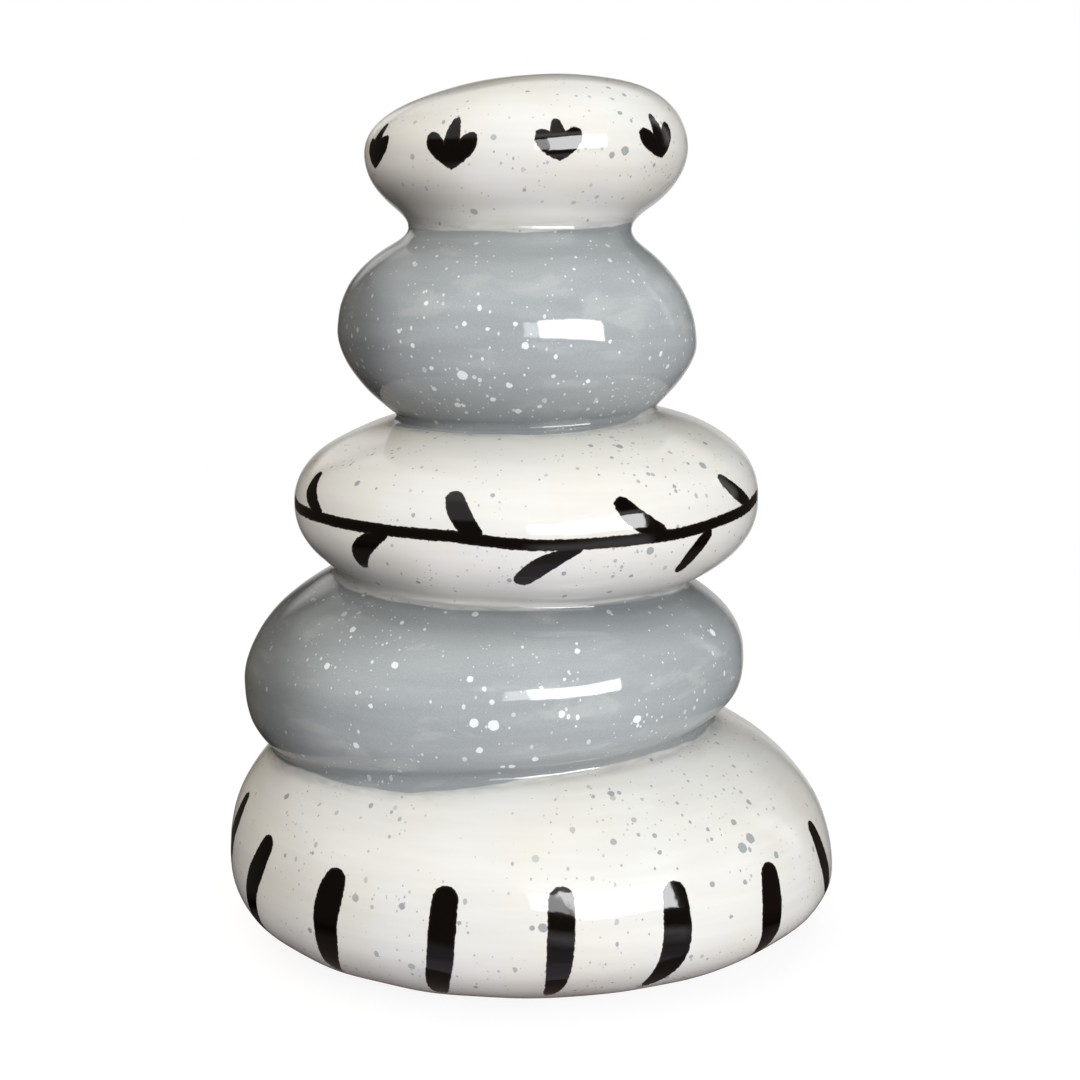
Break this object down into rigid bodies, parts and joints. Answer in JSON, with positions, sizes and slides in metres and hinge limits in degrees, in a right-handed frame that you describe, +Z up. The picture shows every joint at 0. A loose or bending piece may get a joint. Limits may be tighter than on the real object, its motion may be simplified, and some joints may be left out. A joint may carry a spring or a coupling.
{
  "type": "glazed ceramic cairn ornament",
  "caption": "Glazed ceramic ornament in the form of a stone cairn: flat pebbles of falling size, stacked and fired as one piece, standing on a flat foot.",
  "frame": {"origin": "centre of the flat foot, on the surface that the cairn stands on", "axes": "+Z up through the stack; +Y to the back, away from the side that is looked at; +X to the viewer's right"},
  "size_m": [0.1719, 0.1632, 0.2403],
  "materials": {
    "glaze": "clear gloss glaze over white and grey underglaze, with black brushwork and spattered specks"
  },
  "bodies": {
    "root": {"stone_cairn": "glaze"}
  },
  "joints": []
}
